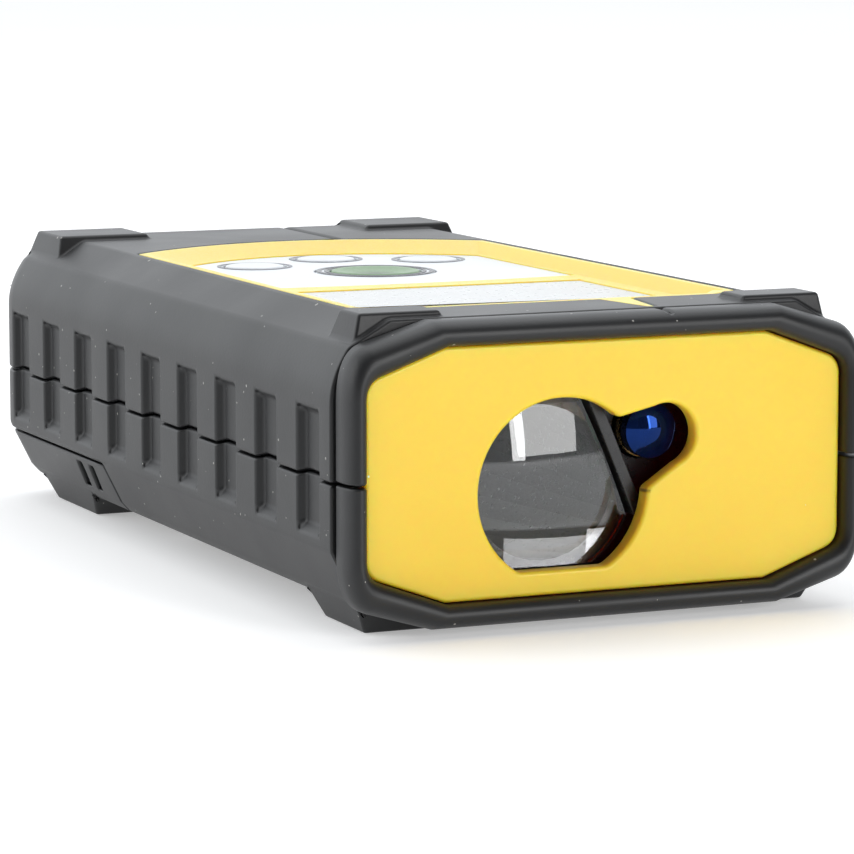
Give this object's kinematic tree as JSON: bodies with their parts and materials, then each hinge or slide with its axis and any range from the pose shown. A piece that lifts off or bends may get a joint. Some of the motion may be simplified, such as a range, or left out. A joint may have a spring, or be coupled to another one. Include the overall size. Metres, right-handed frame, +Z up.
{
  "type": "laser distance meter",
  "caption": "Rugged hand-held laser distance meter: split rubber sleeve, yellow front panel with receiver and laser lenses, keypad, display and sliding battery cover.",
  "frame": {"origin": "bottom centre of the whole meter, on the surface it rests on", "axes": "+Y along the body from the optics to the rear reference face, +Z up out of the keypad, +X to the right seen from behind the lenses"},
  "size_m": [0.0598, 0.113, 0.033],
  "materials": {
    "overmold_rubber": "matte soft-touch rubber, near black",
    "yellow_plastic": "satin moulded plastic, warm yellow",
    "white_plastic": "smooth keypad film, white",
    "green_plastic": "satin green key",
    "grey_plastic": "satin grey plastic",
    "display_window": "clear window over a light grey display",
    "lens_glass": "polished clear lens",
    "coated_glass": "polished lens with a deep blue coating",
    "black_plastic": "moulded black plastic",
    "circuit_board": "green solder resist",
    "steel": "bright plated steel",
    "brass": "turned brass",
    "ribbon": "amber flexible circuit",
    "cell_sleeve": "plain dark battery sleeve"
  },
  "bodies": {
    "body": {"upper_overmold": "overmold_rubber", "lower_overmold": "overmold_rubber", "upper_front_hoop": "overmold_rubber", "lower_front_hoop": "overmold_rubber", "front_panel": "yellow_plastic", "top_frame": "yellow_plastic", "display_window": "display_window", "keypad_label": "white_plastic", "measure_button_ring": "grey_plastic", "measure_button_switch": "steel", "clear_key_switch": "steel", "unit_key_switch": "steel", "function_key_switch": "steel", "receiver_lens": "lens_glass", "lens_retainer": "black_plastic", "laser_lens": "coated_glass", "laser_module": "brass", "optics_chassis": "black_plastic", "receiver_board": "circuit_board", "photodiode": "steel", "inner_frame": "black_plastic", "main_board": "circuit_board", "display_module": "grey_plastic", "buzzer": "black_plastic", "processor": "black_plastic", "ribbon_cable": "ribbon", "case_screw_1": "steel", "case_screw_2": "steel", "case_screw_3": "steel", "case_screw_4": "steel", "battery_tray": "black_plastic", "front_battery": "cell_sleeve", "rear_battery": "cell_sleeve", "front_contact_plate": "steel", "rear_contact_plate": "steel", "front_contact_spring": "steel", "rear_contact_spring": "steel"},
    "measure_button": {"measure_button": "green_plastic"},
    "clear_key": {"clear_key": "white_plastic"},
    "unit_key": {"unit_key": "white_plastic"},
    "function_key": {"function_key": "white_plastic"},
    "battery_cover": {"battery_cover": "overmold_rubber"}
  },
  "joints": [
    {"name": "measure_button_press", "type": "slide", "parent": "body", "child": "measure_button", "axis": [0, 0, -1], "range_m": [0, 0.0005], "stiffness_N_per_m": 200},
    {"name": "clear_key_press", "type": "slide", "parent": "body", "child": "clear_key", "axis": [0, 0, -1], "range_m": [0, 0.0005], "stiffness_N_per_m": 200},
    {"name": "unit_key_press", "type": "slide", "parent": "body", "child": "unit_key", "axis": [0, 0, -1], "range_m": [0, 0.0005], "stiffness_N_per_m": 200},
    {"name": "function_key_press", "type": "slide", "parent": "body", "child": "function_key", "axis": [0, 0, -1], "range_m": [0, 0.0005], "stiffness_N_per_m": 200},
    {"name": "battery_cover_slide", "type": "slide", "parent": "body", "child": "battery_cover", "axis": [0, 1, 0], "range_m": [0, 0.04]}
  ]
}
